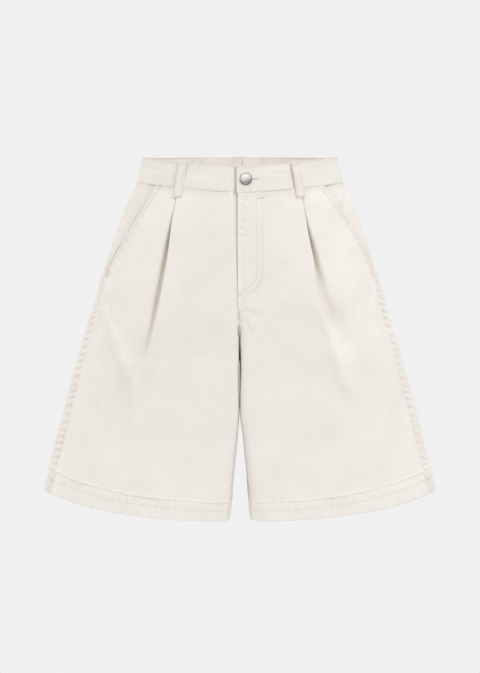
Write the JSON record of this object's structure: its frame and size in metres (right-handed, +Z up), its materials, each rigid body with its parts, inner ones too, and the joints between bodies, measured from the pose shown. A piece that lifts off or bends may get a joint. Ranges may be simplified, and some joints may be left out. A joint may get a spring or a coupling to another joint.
{
  "type": "bermuda shorts",
  "caption": "Pleated Bermuda shorts, hollow and filled out as worn, with a buttoned waistband, belt loops, slant pockets and deep hems.",
  "frame": {"origin": "middle of the waist opening, level with the waistband's top edge at the sides, where the garment is held", "axes": "+X towards the wearer's left, -Y the way the wearer faces, +Z up"},
  "size_m": [0.5598, 0.2403, 0.5078],
  "materials": {
    "ecru_twill": "matt washed cotton twill",
    "silver_metal": "brushed domed metal"
  },
  "bodies": {
    "root": {"front_left": "ecru_twill", "front_right": "ecru_twill", "back_left": "ecru_twill", "back_right": "ecru_twill", "pocket_facing_left": "ecru_twill", "pocket_facing_right": "ecru_twill", "waistband_left": "ecru_twill", "waistband_right": "ecru_twill", "hem_front_left": "ecru_twill", "hem_front_right": "ecru_twill", "hem_back_left": "ecru_twill", "hem_back_right": "ecru_twill", "belt_loop_front_left": "ecru_twill", "belt_loop_front_right": "ecru_twill", "belt_loop_back_left": "ecru_twill", "belt_loop_back_right": "ecru_twill", "belt_loop_centre_back": "ecru_twill", "waist_button": "silver_metal"}
  },
  "joints": []
}
